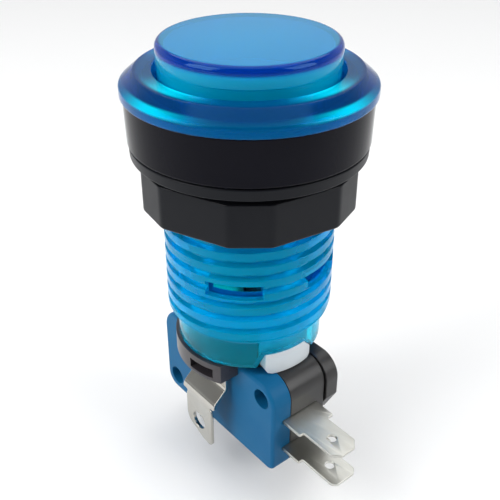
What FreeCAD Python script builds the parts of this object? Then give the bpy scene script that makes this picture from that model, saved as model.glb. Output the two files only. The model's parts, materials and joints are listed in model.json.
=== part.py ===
"""Illuminated panel push button: a lit cap in a threaded housing, clamped by a nut, over a microswitch.

Millimetres. The origin is on the barrel's axis where the panel's front face lies, under the collar.
+Z points up to the cap, +X to the switch's two end terminals, +Y to the switch's back.
"""
import FreeCAD, Part
import math
import os
import Sketcher
from FreeCAD import Placement, Rotation, Vector

doc = FreeCAD.newDocument("PanelPushButton")
sheet = doc.addObject("Spreadsheet::Sheet", "Sizes")
sheet_rows = []
subparts = []


# ---------------------------------------------------------------- linked sizes

class Size:
    """A length or an angle in degrees: its number, and the sheet expression that it is bound with."""

    def __init__(self, number, text):
        self.number = number
        self.text = text

    def __add__(self, other):
        return Size(self.number + as_size(other).number, f"({self.text} + {as_size(other).text})")

    def __sub__(self, other):
        return Size(self.number - as_size(other).number, f"({self.text} - {as_size(other).text})")

    def __mul__(self, factor):
        return Size(self.number * as_size(factor).number, f"({self.text} * {as_size(factor).text})")

    def __truediv__(self, divisor):
        return Size(self.number / divisor, f"({self.text} / {divisor})")

    def __neg__(self):
        return Size(-self.number, f"(-1 * {self.text})")

    __radd__ = __add__

    def __rsub__(self, other):
        return as_size(other) - self


def as_size(value):
    return value if isinstance(value, Size) else Size(float(value), str(value))


def cosine(angle):
    return Size(math.cos(math.radians(angle.number)), f"cos({angle.text})")


def sine(angle):
    return Size(math.sin(math.radians(angle.number)), f"sin({angle.text})")


def driving(alias, number):
    """Writes one driving dimension into the sheet and returns it as a Size."""
    row = len(sheet_rows) + 1
    sheet_rows.append(alias)
    sheet.set(f"A{row}", alias.replace("_", " "))
    sheet.set(f"B{row}", str(number))
    sheet.setAlias(f"B{row}", alias)
    return Size(float(number), f"Sizes.{alias}")


def bind(item, path, value):
    """Sets one property of an object from the sheet."""
    item.setExpression(path, as_size(value).text)


# ---------------------------------------------------------------- driving dimensions

# shared by all pieces
fit_gap = driving("fit_gap", 0.05)
thin_gap = driving("gap_between_touching_faces", 0.02)
bite = driving("overlap_of_joined_shapes", 0.1)
wall_bite = driving("overlap_of_joined_walls", 0.4)

# housing, from the bezel down
hole_radius = driving("bezel_hole_radius", 12.6)
flat_radius = driving("bezel_flat_radius", 15.0)
bezel_radius = driving("bezel_radius", 17.0)
bezel_top = driving("bezel_top", 9.6)
bevel_foot = driving("bezel_bevel_foot", 7.9)
bezel_under = driving("bezel_underside", 6.5)
rim_round = driving("bezel_rim_rounding", 0.3)
boss_radius = driving("boss_radius", 14.2)
boss_bottom = driving("boss_bottom", 1.6)
root_radius = driving("thread_root_radius", 11.6)
crest_radius = driving("thread_crest_radius", 12.37)
thread_pitch = driving("thread_pitch", 2.2)
thread_bottom = driving("thread_bottom", -26.2)
shoulder_foot = driving("shoulder_foot", -27.35)
skirt_radius = driving("skirt_radius", 10.97)
skirt_bottom = driving("skirt_bottom", -31.95)
chamber_radius = driving("lower_chamber_radius", 9.9)
chamber_top = driving("lower_chamber_top", -22.5)
guide_radius = driving("guide_bore_radius", 9.15)
ledge_height = driving("spring_ledge_height", 3.0)
groove_radius = driving("hook_groove_radius", 10.2)
groove_top = driving("hook_groove_top", -16.5)
groove_bottom = driving("hook_groove_bottom", -20.9)
window_angle = driving("window_angle", 38)
window_low = driving("window_low", -18.9)
window_height = driving("window_height", 2.2)
front_window = driving("front_window_direction", -49.4)
side_window = driving("side_window_direction", 20.6)
thread_land = driving("last_thread_land", 0.4)
thread_fade = driving("last_thread_fade", 0.3)
thread_start = driving("thread_start_above_barrel_foot", 1.2)
thread_half_root = driving("thread_half_width_at_root", 0.88)
thread_half_crest = driving("thread_half_width_at_crest", 0.58)
thread_turns = driving("thread_turns", 10.5)
notch_direction = driving("notch_direction", -9.4)
notch_top = driving("notch_top", -29.7)
notch_half_top = driving("notch_half_width_at_top", 3.4)
notch_foot_left = driving("notch_foot_left", -4.6)
notch_foot_right = driving("notch_foot_right", 5.35)

# clamping parts
collar_radius = driving("collar_radius", 16.6)
collar_bore = driving("collar_bore_radius", 14.4)
collar_lip_bore = driving("collar_lip_bore_radius", 12.75)
collar_lip = driving("collar_lip_thickness", 1.5)
collar_taper = driving("collar_taper", 0.15)
washer_radius = driving("washer_radius", 16.32)
washer_top = driving("washer_top", -0.15)
washer_bottom = driving("washer_bottom", -1.75)
washer_bevel = driving("washer_bevel", 0.2)
nut_vertex = driving("nut_vertex_radius", 15.32)
nut_half_cut = driving("nut_cut_corner_half_angle", 10.8)
nut_direction = driving("nut_cut_corner_direction", -38.8)
nut_top = driving("nut_top", -1.8)
nut_bottom = driving("nut_bottom", -9.1)
nut_bore = driving("nut_bore_radius", 12.62)
nut_round = driving("nut_edge_rounding", 0.4)
nut_ridge_radius = driving("nut_ridge_radius", 11.85)
nut_ridge_start = driving("nut_ridge_start", 0.8)
nut_ridge_half_root = driving("nut_ridge_half_width_at_root", 0.5)
nut_ridge_half_crest = driving("nut_ridge_half_width_at_crest", 0.16)
nut_ridge_turns = driving("nut_ridge_turns", 2.6)

# cap and plunger
cap_radius = driving("cap_radius", 12.085)
cap_bore = driving("cap_bore_radius", 10.9)
cap_top = driving("cap_top", 13.3)
cap_plate = driving("cap_plate_thickness", 1.7)
cap_round = driving("cap_edge_rounding", 0.8)
cap_ledge = driving("cap_ledge_depth", 2.7)
cap_step = driving("cap_ledge_step", 0.12)
cap_skirt = driving("cap_skirt_bottom", 5.5)
flange_top = driving("plunger_flange_top", 10.0)
flange_height = driving("plunger_flange_height", 1.0)
tube_radius = driving("plunger_tube_radius", 8.9)
tube_bore = driving("plunger_tube_bore_radius", 7.7)
tube_bottom = driving("plunger_tube_bottom", -17.9)
hook_radius = driving("plunger_hook_radius", 9.9)
hook_height = driving("plunger_hook_height", 1.3)
hook_angle = driving("plunger_hook_angle", 34)
web_low = driving("plunger_web_low", -9.0)
web_height = driving("plunger_web_height", 2.0)
stem_side = driving("plunger_stem_side", 2.6)
stem_bottom = driving("plunger_stem_bottom", -30.75)
slit_width = driving("plunger_slit_width", 1.2)
slit_height = driving("plunger_slit_height", 6.0)
spring_wire = driving("return_spring_wire", 0.8)
spring_radius = driving("return_spring_mean_radius", 10.0)
spring_turns = driving("return_spring_turns", 3)

# lamp holder, its lamp and contacts
base_radius = driving("holder_base_radius", 9.0)
base_bottom = driving("holder_base_bottom", -33.55)
base_top = driving("holder_base_top", -32.0)
wall_inner = driving("holder_wall_inner_radius", 8.4)
wall_outer = driving("holder_wall_outer_radius", 9.7)
wall_top = driving("holder_wall_top", -25.6)
wall_angle = driving("holder_wall_angle", 71)
wall_direction = driving("holder_wall_direction", -68.6)
tower_length = driving("tower_length", 12.5)
tower_depth = driving("tower_depth", 7.5)
tower_top = driving("tower_top", -12.0)
channel_side = driving("stem_channel_side", 3.4)
holder_gap = driving("gap_between_holder_and_switch", 0.1)
lamp_offset = driving("lamp_offset", -3.3)
socket_radius = driving("lamp_socket_radius", 2.5)
socket_bottom = driving("lamp_socket_bottom", -18.0)
lamp_base_rise = driving("lamp_base_rise", 1.0)
lens_inset = driving("lens_inset", 0.3)
lens_height = driving("lens_height", 3.5)
lead_radius = driving("lead_radius", 0.25)
lead_spread = driving("lead_spread", 1.2)
lead_drop = driving("lead_drop", 0.7)
lead_slot_width = driving("lead_slot_width", 1.0)
lead_slot_depth = driving("lead_slot_depth", 1.2)
apron_radius = driving("apron_radius", 11.5)
apron_bottom = driving("apron_bottom", -35.2)
apron_left = driving("apron_left", -9.3)
apron_right = driving("apron_right", 5.6)
apron_slot_left = driving("apron_slot_left", 0.0)
apron_slot_right = driving("apron_slot_right", 4.4)
apron_slot_low = driving("apron_slot_low", -34.6)
apron_slot_high = driving("apron_slot_high", -33.0)
strip_left = driving("contact_strip_left", -4.0)
strip_right = driving("contact_strip_right", 3.9)
strip_tab_left = driving("contact_strip_tab_left", -3.2)
strip_tab_right = driving("contact_strip_tab_right", 3.15)
strip_shoulder = driving("contact_strip_shoulder_height", -42.2)
strip_relief = driving("contact_strip_relief_notch_radius", 0.35)
strip_thickness = driving("contact_strip_thickness", 0.6)
strip_bottom = driving("contact_strip_bottom", -49.9)
strip_hole_radius = driving("contact_strip_hole_radius", 1.5)
strip_hole_height = driving("contact_strip_hole_height", -46.6)
strip_hole_across = driving("contact_strip_hole_across", -0.05)
strip_slack = driving("contact_strip_slack", 0.15)
strip_inset = driving("contact_strip_upright_in_front_of_switch", 1.2)
strip_standoff = driving("contact_strip_tab_in_front_of_switch", 3.65)
strip_shelf_gap = driving("contact_strip_gap_over_base", 0.45)
strip_bend_top = driving("contact_strip_bend_top", -39.3)
strip_bend_foot = driving("contact_strip_bend_foot", -41.0)
strip_bend_radius = driving("contact_strip_bend_radius", 0.75)
strip_climb = driving("contact_strip_below_tower_top", 2.0)
strip_cut_across = driving("contact_strip_corner_cut_across", 4.6)
strip_cut_up = driving("contact_strip_corner_cut_up", 2.0)
latch_top = driving("latch_ring_top", -23.9)
latch_height = driving("latch_ring_height", 1.5)
latch_inner = driving("latch_ring_inner_radius", 7.6)
latch_outer = driving("latch_ring_outer_radius", 9.75)
leaf_inner = driving("latch_leaf_inner_radius", 9.05)
leaf_angle = driving("latch_leaf_angle", 50)
leaf_direction = driving("latch_leaf_direction", -6.4)
lug_bottom = driving("lug_bottom", -33.45)
lug_left = driving("lug_left", -3.25)
lug_right = driving("lug_right", 4.75)
lug_corner_left = driving("lug_left_corner", 1.0)
lug_corner_right = driving("lug_right_corner", 0.5)
lug_side_gap = driving("lug_side_gap", 0.2)

# microswitch
switch_left = driving("switch_left", -14.1)
switch_length = driving("switch_length", 27.8)
switch_front = driving("switch_front", -6.75)
switch_thickness = driving("switch_thickness", 10.3)
switch_bottom = driving("switch_bottom", -49.5)
switch_height = driving("switch_height", 15.9)
cover_thickness = driving("switch_cover_thickness", 3.5)
corner_large = driving("switch_top_corner_radius", 3.5)
corner_small = driving("switch_foot_corner_radius", 2.5)
corner_end = driving("switch_foot_corner_radius_at_tabs", 1.2)
wall = driving("switch_wall", 1.3)
fixing_radius = driving("switch_fixing_hole_radius", 1.55)
fixing_inset = driving("switch_fixing_inset", 2.8)
fixing_spacing_long = driving("switch_fixing_spacing_long", 22.2)
fixing_spacing_high = driving("switch_fixing_spacing_high", 10.3)
post_wall = driving("switch_post_wall", 0.8)
case_join = driving("half_gap_between_switch_shells", 0.01)
cover_round = driving("switch_cover_edge_rounding", 0.6)
pin_offset = driving("switch_pin_offset", 3.0)
pin_radius = driving("switch_pin_radius", 1.3)
pin_top = driving("switch_pin_top", -30.8)
pin_bottom = driving("switch_pin_bottom", -36.6)
pin_collar_radius = driving("switch_pin_collar_radius", 1.9)
pin_collar_height = driving("switch_pin_collar_height", 0.7)
upper_tab = driving("upper_tab_height", -40.2)
lower_tab = driving("lower_tab_height", -45.7)
tab_thickness = driving("tab_thickness", 0.5)
tab_width = driving("tab_width", 4.75)
tab_reach = driving("tab_reach", 10.3)
tab_root_width = driving("tab_root_width", 6.8)
tab_root_reach = driving("tab_root_reach", 3.6)
tab_hole_radius = driving("tab_hole_radius", 0.725)
tab_hole_reach = driving("tab_hole_reach", 6.95)
tab_tip_cut = driving("tab_tip_cut", 1.1)
tab_root_inset = driving("tab_root_behind_switch_face", 2.0)
tab_middle_inset = driving("tab_middle_behind_switch_face", 5.2)
blade_height = driving("blade_height", -42.35)
blade_left = driving("blade_left", -7.0)
blade_right = driving("blade_right", 9.4)
blade_thickness = driving("blade_thickness", 0.25)
blade_width = driving("blade_width", 3.2)
blade_curl = driving("blade_pivot_curl_radius", 0.15)
contact_place = driving("contact_place", 8.2)
contact_radius = driving("contact_radius", 1.3)
contact_height = driving("fixed_contact_height", 1.0)
button_height = driving("moving_contact_height", 0.65)
common_tab_inset = driving("common_tab_inset", 5.6)
common_tab_front = driving("common_tab_front", 2.4)
common_tab_width = driving("common_tab_width", 2.8)
common_tab_reach = driving("common_tab_reach", 6.2)
common_arm_past_pivot = driving("common_arm_past_pivot", 0.6)
pin_spring_wire = driving("pin_spring_wire", 0.3)
pin_spring_radius = driving("pin_spring_mean_radius", 0.9)
pin_spring_turns = driving("pin_spring_turns", 6)
bracket_thickness = driving("bracket_thickness", 2.4)
bracket_bottom = driving("bracket_bottom", -44.4)
bracket_overhang = driving("bracket_overhang_past_switch", 0.4)
bracket_cut_across = driving("bracket_corner_cut_across", 2.3)
bracket_cut_up = driving("bracket_corner_cut_up", 4.3)
bracket_tongue_width = driving("bracket_tongue_width", 9.0)

switch_right = switch_left + switch_length
switch_back = switch_front + switch_thickness
switch_top = switch_bottom + switch_height
switch_middle = switch_front + switch_thickness / 2
split_plane = switch_front + cover_thickness
clear = as_size(1)


# ---------------------------------------------------------------- primitives and booleans

def place(item, x, y, z):
    for axis, value in (("x", x), ("y", y), ("z", z)):
        bind(item, f"Placement.Base.{axis}", value)


def box(name, low, high):
    """A block between two corners, each an (x, y, z) of sizes."""
    item = doc.addObject("Part::Box", name)
    for side, start, end in zip(("Length", "Width", "Height"), low, high):
        bind(item, side, as_size(end) - as_size(start))
    place(item, *low)
    return item


def cylinder(name, radius, low, high, x=0, y=0):
    """An upright cylinder from one height to another."""
    item = doc.addObject("Part::Cylinder", name)
    bind(item, "Radius", radius)
    bind(item, "Height", as_size(high) - as_size(low))
    place(item, x, y, low)
    return item


def rod(name, radius, start, length, x, z):
    """A cylinder that runs along +Y from its start."""
    item = doc.addObject("Part::Cylinder", name)
    bind(item, "Radius", radius)
    bind(item, "Height", length)
    item.Placement = Placement(Vector(), Rotation(Vector(1, 0, 0), -90))
    place(item, x, start, z)
    return item


def sector(name, radius, low, high, direction, width):
    """A pie slice of a cylinder, centred on a direction in degrees from +X."""
    item = cylinder(name, radius, low, high)
    bind(item, "Angle", width)
    item.Placement = Placement(Vector(), Rotation(Vector(0, 0, 1), 1))
    place(item, 0, 0, low)
    bind(item, "Placement.Rotation.Angle", as_size(direction) - as_size(width) / 2)
    return item


def tube_sector(name, inner, outer, low, high, direction, width):
    """A curved wall: a pie slice less its core."""
    slice_ = sector(f"{name}_slice", outer, low, high, direction, width)
    core = cylinder(f"{name}_core", inner, low - clear, high + clear)
    return cut(name, slice_, core)


def fuse(name, *pieces):
    item = doc.addObject("Part::MultiFuse", name)
    item.Shapes = list(pieces)
    item.Refine = False
    return item


def cut(name, base, *tools):
    item = doc.addObject("Part::Cut", name)
    item.Base = base
    item.Tool = tools[0] if len(tools) == 1 else fuse(f"{name}_tools", *tools)
    item.Refine = False
    return item


def common(name, first, second):
    item = doc.addObject("Part::Common", name)
    item.Base = first
    item.Tool = second
    item.Refine = False
    return item


def subpart(node, item):
    """Names the object that becomes one node of the assembly."""
    item.Label = node
    subparts.append(item)
    return item


# ---------------------------------------------------------------- sketched bodies

def origin_plane(body, role):
    return next(plane for plane in body.Origin.OriginFeatures if plane.Role == role)


def tie(sketch, geometry, point, direction, value):
    """Ties one coordinate of a sketch point to a size."""
    if value.number == 0 and value.text in ("0", "0.0"):
        axis = -2 if direction == "DistanceX" else -1
        sketch.addConstraint(Sketcher.Constraint("PointOnObject", geometry, point, axis))
        return
    index = sketch.addConstraint(Sketcher.Constraint(direction, -1, 1, geometry, point, value.number))
    sketch.setExpression(f"Constraints[{index}]", value.text)


def polygon_sketch(body, role, offset, corners):
    """A closed outline in one of the body's origin planes, every corner tied to the sheet."""
    sketch = body.newObject("Sketcher::SketchObject", f"{body.Name}_outline")
    sketch.AttachmentSupport = [(origin_plane(body, role), "")]
    sketch.MapMode = "FlatFace"
    bind(sketch, "AttachmentOffset.Base.z", offset)
    corners = [(as_size(a), as_size(b)) for a, b in corners]
    for first, second in zip(corners, corners[1:] + corners[:1]):
        start = Vector(first[0].number, first[1].number, 0)
        end = Vector(second[0].number, second[1].number, 0)
        sketch.addGeometry(Part.LineSegment(start, end), False)
    for index, corner in enumerate(corners):
        follower = (index + 1) % len(corners)
        sketch.addConstraint(Sketcher.Constraint("Coincident", index, 2, follower, 1))
        tie(sketch, index, 1, "DistanceX", corner[0])
        tie(sketch, index, 1, "DistanceY", corner[1])
    return sketch


def revolved(name, corners):
    """A body turned about Z from an outline of (radius, height) corners."""
    body = doc.addObject("PartDesign::Body", name)
    sketch = polygon_sketch(body, "XZ_Plane", 0, corners)
    turn = body.newObject("PartDesign::Revolution", f"{name}_turned")
    turn.Profile = sketch
    turn.ReferenceAxis = (sketch, ["V_Axis"])
    turn.Angle = 360
    doc.recompute()
    return body


def prism(name, role, low, high, corners):
    """A body padded from an outline, between two distances along the plane's own row axis."""
    body = doc.addObject("PartDesign::Body", name)
    offset = -as_size(high) if role == "XZ_Plane" else as_size(low)
    sketch = polygon_sketch(body, role, offset, corners)
    pad = body.newObject("PartDesign::Pad", f"{name}_pad")
    pad.Profile = sketch
    bind(pad, "Length", as_size(high) - as_size(low))
    doc.recompute()
    return body


def round_edges(body, radius, wanted):
    """Rounds the edges of a body whose ends pass a test."""
    feature = body.Tip
    names = []
    for number, edge in enumerate(feature.Shape.Edges, 1):
        if all(wanted(vertex.Point) for vertex in edge.Vertexes) and wanted(edge.CenterOfMass):
            names.append(f"Edge{number}")
    fillet = body.newObject("PartDesign::Fillet", f"{body.Name}_rounding{len(body.Group)}")
    fillet.Base = (feature, names)
    bind(fillet, "Radius", radius)
    body.Tip = fillet
    doc.recompute()
    return body


def near(value, target, slack=0.02):
    return abs(value - as_size(target).number) < slack


# ---------------------------------------------------------------- threads, springs and bent strips

def helical_solid(name, section, pitch, turns, radius):
    """One closed ridge or wire that follows a right-hand helix, made of Part's own shapes."""
    path = Part.makeHelix(pitch, pitch * turns, radius)
    item = doc.addObject("Part::Feature", name)
    item.Shape = Part.Wire(path.Edges).makePipeShell([section], True, True)
    return item


def thread_ridge(name, foot, crest, half_foot, half_crest, low, turns, phase):
    """A trapezoid ridge from one radius to another, starting at a height and a phase in degrees."""
    foot, crest, half_foot, half_crest = (size.number for size in (foot, crest, half_foot, half_crest))
    points = [Vector(foot, 0, -half_foot), Vector(crest, 0, -half_crest)]
    points += [Vector(crest, 0, half_crest), Vector(foot, 0, half_foot)]
    section = Part.makePolygon(points + points[:1])
    item = helical_solid(name, section, thread_pitch.number, turns.number, foot)
    item.Placement = Placement(Vector(0, 0, low.number), Rotation(Vector(0, 0, 1), phase))
    return item


def coil_spring(name, *sizes):
    """A round-wire compression spring: its wire, mean radius, low and high ends, turns and x, y."""
    wire, radius, low, high, turns, x, y = (size.number for size in sizes)
    pitch = (high - low - wire) / turns
    section = Part.Wire(Part.makeCircle(wire / 2, Vector(radius, 0, 0), Vector(0, 1, 0)))
    item = helical_solid(name, section, pitch, turns, radius)
    item.Placement = Placement(Vector(x, y, low + wire / 2), Rotation())
    return item


def rounded_path(corners, radius):
    """A wire through the corners, with each bend an arc of one radius."""
    edges = []
    start = corners[0]
    for before, corner, after in zip(corners, corners[1:], corners[2:]):
        back = (before - corner).normalize()
        ahead = (after - corner).normalize()
        half = back.getAngle(ahead) / 2
        reach = radius / math.tan(half)
        inward = (back + ahead).normalize()
        middle = corner + inward * (radius / math.sin(half) - radius)
        edges.append(Part.LineSegment(start, corner + back * reach).toShape())
        edges.append(Part.Arc(corner + back * reach, middle, corner + ahead * reach).toShape())
        start = corner + ahead * reach
    edges.append(Part.LineSegment(start, corners[-1]).toShape())
    return Part.Wire(edges)


def bent_strip(name, corners, radius, left, right, thickness):
    """A flat strip bent along (y, z) corners; its first run is upright."""
    path = rounded_path([Vector(0, y, z) for y, z in corners], radius)
    y, z = corners[0]
    half = thickness / 2
    points = [Vector(left, y - half, z), Vector(right, y - half, z)]
    points += [Vector(right, y + half, z), Vector(left, y + half, z)]
    section = Part.makePolygon(points + points[:1])
    item = doc.addObject("Part::Feature", name)
    item.Shape = path.makePipeShell([section], True, False)
    return item


# ---------------------------------------------------------------- housing and clamping parts

def make_housing():
    """Bezel, boss, barrel and skirt in one moulding, with its windows, lug notches and thread."""
    blank = revolved("housing_blank", [
        (hole_radius, bezel_top), (flat_radius, bezel_top), (bezel_radius, bevel_foot),
        (bezel_radius, bezel_under), (boss_radius, bezel_under), (boss_radius, boss_bottom),
        (root_radius, boss_bottom), (root_radius, thread_bottom + thread_land + thread_fade),
        (crest_radius, thread_bottom + thread_land), (crest_radius, thread_bottom),
        (skirt_radius, shoulder_foot), (skirt_radius, skirt_bottom),
        (chamber_radius, skirt_bottom), (chamber_radius, chamber_top), (guide_radius, chamber_top),
        (guide_radius, groove_bottom), (groove_radius, groove_bottom), (groove_radius, groove_top),
        (guide_radius, groove_top), (guide_radius, ledge_height), (hole_radius, ledge_height)])
    round_edges(blank, rim_round, lambda p: near(math.hypot(p.x, p.y), bezel_radius)
                or (near(math.hypot(p.x, p.y), 0) and p.z > boss_bottom.number))
    tools = []
    for index, direction in enumerate((front_window, side_window, front_window + 180, side_window + 180)):
        name = f"window{index + 1}"
        tools.append(tube_sector(name, guide_radius - clear, crest_radius + clear, window_low,
                                 window_low + window_height, direction, window_angle))
    body = cut("housing_body", blank, *tools, *notch_cutters())
    ridge = thread_ridge("barrel_thread", root_radius - bite, crest_radius, thread_half_root,
                         thread_half_crest, thread_bottom + thread_start, thread_turns, 0)
    trimmed = cut("trimmed_thread", ridge, *tools)
    subpart("housing", fuse("housing", body, trimmed))


def notch_cutters():
    """Two opposite slant-sided openings in the skirt, open at its lower edge."""
    reach = skirt_radius + clear
    below = skirt_bottom - thin_gap
    cutters = []
    for index in range(2):
        cutter = prism(f"notch_prism{index + 1}", "YZ_Plane", wall_inner, reach, [
            (-notch_half_top, notch_top), (notch_foot_left, below), (notch_foot_right, below),
            (notch_half_top, notch_top)])
        cutters.append(turned(f"notch{index + 1}", cutter, notch_direction + 180 * index))
    return cutters


def turned(name, item, direction):
    """The same shape turned about Z by an angle from the sheet."""
    item.Placement = Placement(Vector(), Rotation(Vector(0, 0, 1), 1))
    bind(item, "Placement.Rotation.Angle", direction)
    item.Label = name
    return item


def make_collar():
    body = revolved("collar", [
        (collar_lip_bore, 0), (collar_radius - collar_taper, 0), (collar_radius, bezel_under - fit_gap),
        (collar_bore, bezel_under - fit_gap), (collar_bore, collar_lip), (collar_lip_bore, collar_lip)])
    subpart("collar", body)


def make_washer():
    body = revolved("washer", [
        (nut_bore, washer_bottom), (washer_radius - washer_bevel, washer_bottom),
        (washer_radius, washer_bottom + washer_bevel), (washer_radius, washer_top), (nut_bore, washer_top)])
    subpart("washer", body)


def make_nut():
    """A hexagon nut with cut corners, threaded inside."""
    corners = []
    for side in range(6):
        for half in (-nut_half_cut, nut_half_cut):
            angle = nut_direction + 60 * side + half
            corners.append((nut_vertex * cosine(angle), nut_vertex * sine(angle)))
    blank = prism("nut_blank", "XY_Plane", nut_bottom, nut_top, corners)
    round_edges(blank, nut_round, lambda p: near(p.z, nut_bottom))
    bore = cylinder("nut_bore", nut_bore, nut_bottom - clear, nut_top + clear)
    ring = cut("nut_ring", blank, bore)
    low = nut_bottom + nut_ridge_start
    pitches_up = (low - thread_bottom - thread_start).number / thread_pitch.number
    ridge = thread_ridge("nut_thread", nut_bore + bite, nut_ridge_radius, nut_ridge_half_root,
                         nut_ridge_half_crest, low, nut_ridge_turns, 360 * pitches_up + 180)
    subpart("nut", fuse("nut", ring, ridge))


# ---------------------------------------------------------------- cap and plunger

def make_cap():
    body = revolved("cap", [
        (0, cap_top), (cap_radius, cap_top), (cap_radius, cap_top - cap_ledge),
        (cap_radius - cap_step, cap_top - cap_ledge - bite), (cap_radius - cap_step, cap_skirt),
        (cap_bore, cap_skirt), (cap_bore, cap_top - cap_plate),
        (0, cap_top - cap_plate)])
    round_edges(body, cap_round, lambda p: near(p.z, cap_top))
    subpart("cap", body)


def make_diffuser():
    disc = revolved("diffuser", [
        (0, flange_top), (cap_bore - fit_gap, flange_top), (cap_bore - fit_gap, cap_top - cap_plate),
        (0, cap_top - cap_plate)])
    subpart("diffuser", disc)


def make_plunger():
    """Tube that slides in the guide bore, with four hooks, a cross web and the stem that works the switch."""
    flange_low = flange_top - flange_height
    barrel = revolved("plunger_tube", [
        (tube_bore, flange_top), (cap_bore - fit_gap, flange_top), (cap_bore - fit_gap, flange_low),
        (tube_radius, flange_low), (tube_radius, tube_bottom), (tube_bore, tube_bottom)])
    pieces = [barrel]
    for index in range(4):
        direction = front_window + 90 * index
        pieces.append(tube_sector(f"hook{index + 1}", tube_bore + wall_bite, hook_radius, tube_bottom,
                                  tube_bottom + hook_height, direction, hook_angle))
    half = stem_side / 2
    web_low_corner = (pin_offset - half, -tube_bore - wall_bite, web_low)
    web_high_corner = (pin_offset + half, tube_bore + wall_bite, web_low + web_height)
    web = box("web_block", web_low_corner, web_high_corner)
    inside = cylinder("web_limit", tube_bore + wall_bite, web_low - clear, web_low + web_height + clear)
    pieces.append(common("web", web, inside))
    pieces.append(box("stem", (pin_offset - half, switch_middle - half, stem_bottom),
                      (pin_offset + half, switch_middle + half, web_low + wall_bite)))
    whole = fuse("plunger_solid", *pieces)
    slit_half = slit_width / 2
    slots = []
    for index in range(2):
        slit = prism(f"slit{index + 1}", "XY_Plane", tube_bottom - clear, tube_bottom + slit_height, [
            (-hook_radius - clear, -slit_half), (hook_radius + clear, -slit_half),
            (hook_radius + clear, slit_half), (-hook_radius - clear, slit_half)])
        slots.append(turned(f"plunger_slit{index + 1}", slit, front_window + 45 + 90 * index))
    subpart("plunger", cut("plunger", whole, *slots))


def make_return_spring():
    low = ledge_height + thin_gap
    high = flange_top - flange_height - thin_gap
    subpart("return_spring", coil_spring("return_spring", spring_wire, spring_radius, low, high,
                                         spring_turns, as_size(0), as_size(0)))


# ---------------------------------------------------------------- lamp holder

def make_lamp_holder():
    """Base plate, two curved walls, the lamp tower and the apron in front of the switch."""
    half_long = tower_length / 2
    half_deep = tower_depth / 2
    pieces = [
        cylinder("holder_base", base_radius, base_bottom, base_top),
        box("tower", (-half_long, -half_deep, base_bottom), (half_long, half_deep, tower_top)),
        tube_sector("wall_front", wall_inner, wall_outer, base_top - wall_bite, wall_top, wall_direction,
                    wall_angle),
        tube_sector("wall_back", wall_inner, wall_outer, base_top - wall_bite, wall_top,
                    wall_direction + 180, wall_angle),
    ]
    apron_disc = cylinder("apron_disc", apron_radius, apron_bottom, base_top)
    apron_back = switch_front - holder_gap
    apron_limit = box("apron_limit", (apron_left, -apron_radius - clear, apron_bottom - clear),
                      (apron_right, apron_back, base_top + clear))
    pieces.append(common("apron", apron_disc, apron_limit))
    whole = fuse("holder_solid", *pieces)
    half_channel = channel_side / 2
    half_lead_slot = lead_slot_width / 2
    half_strip_slot = strip_thickness / 2 + strip_slack
    front = contact_runs()["upright"]
    tools = [
        box("stem_channel", (pin_offset - half_channel, switch_middle - half_channel, base_bottom - clear),
            (pin_offset + half_channel, switch_middle + half_channel, tower_top + clear)),
        cylinder("lamp_socket", socket_radius, socket_bottom, tower_top + clear, lamp_offset, 0),
        box("lead_slot", (lamp_offset - half_lead_slot, -half_deep - clear, socket_bottom - lead_slot_depth),
            (lamp_offset + half_lead_slot, half_deep + clear, socket_bottom + bite)),
        box("apron_slot", (apron_slot_left, -apron_radius - clear, apron_slot_low),
            (apron_slot_right, front, apron_slot_high)),
    ]
    for side, name in ((1, "front"), (-1, "rear")):
        middle = front * side
        tools.append(box(f"{name}_contact_slot",
                         (strip_left - strip_slack, middle - half_strip_slot, apron_bottom - clear),
                         (strip_right + strip_slack, middle + half_strip_slot, base_top + clear)))
    tongue = bracket_tongue()
    tools.append(box("bracket_slot", tongue[0], tongue[1]))
    subpart("lamp_holder", cut("lamp_holder", whole, *tools))


def contact_runs():
    """Where each upright or level run of a lamp contact lies, on the front side."""
    return {
        "upright": switch_front - strip_inset + strip_thickness / 2,
        "hanging": switch_front - strip_standoff + strip_thickness / 2,
        "tower": -tower_depth / 2 - strip_thickness / 2 - fit_gap,
        "shelf": base_top + strip_thickness / 2 + strip_shelf_gap,
    }


def make_lamp_contact(name, side):
    """A strip that climbs the tower, leaves under the apron and hangs as a narrower tab with relief notches."""
    runs = {key: value.number for key, value in contact_runs().items()}
    corners = [
        (runs["hanging"] * side, strip_bottom.number), (runs["hanging"] * side, strip_bend_foot.number),
        (runs["upright"] * side, strip_bend_top.number), (runs["upright"] * side, runs["shelf"]),
        (runs["tower"] * side, runs["shelf"]), (runs["tower"] * side, (tower_top - strip_climb).number)]
    strip = bent_strip(f"{name}_strip", corners, strip_bend_radius.number, strip_left.number,
                       strip_right.number, strip_thickness.number)
    start = contact_runs()["hanging"] * side - clear
    through = clear * 2
    hole = rod(f"{name}_hole", strip_hole_radius, start, through, strip_hole_across, strip_hole_height)
    cut_end = strip_tab_left + strip_cut_across
    left = prism(f"{name}_left_cut", "XZ_Plane", start, start + through, [
        (strip_left - clear, strip_bottom - clear), (cut_end, strip_bottom - clear), (cut_end, strip_bottom),
        (strip_tab_left, strip_bottom + strip_cut_up), (strip_tab_left, strip_shoulder),
        (strip_left - clear, strip_shoulder)])
    right = box(f"{name}_right_cut", (strip_tab_right, start, strip_bottom - clear),
                (strip_right + clear, start + through, strip_shoulder))
    reliefs = [rod(f"{name}_{side_name}_relief", strip_relief, start, through, edge, strip_shoulder)
               for side_name, edge in (("left", strip_tab_left), ("right", strip_tab_right))]
    subpart(name, cut(name, strip, hole, left, right, *reliefs))


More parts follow.
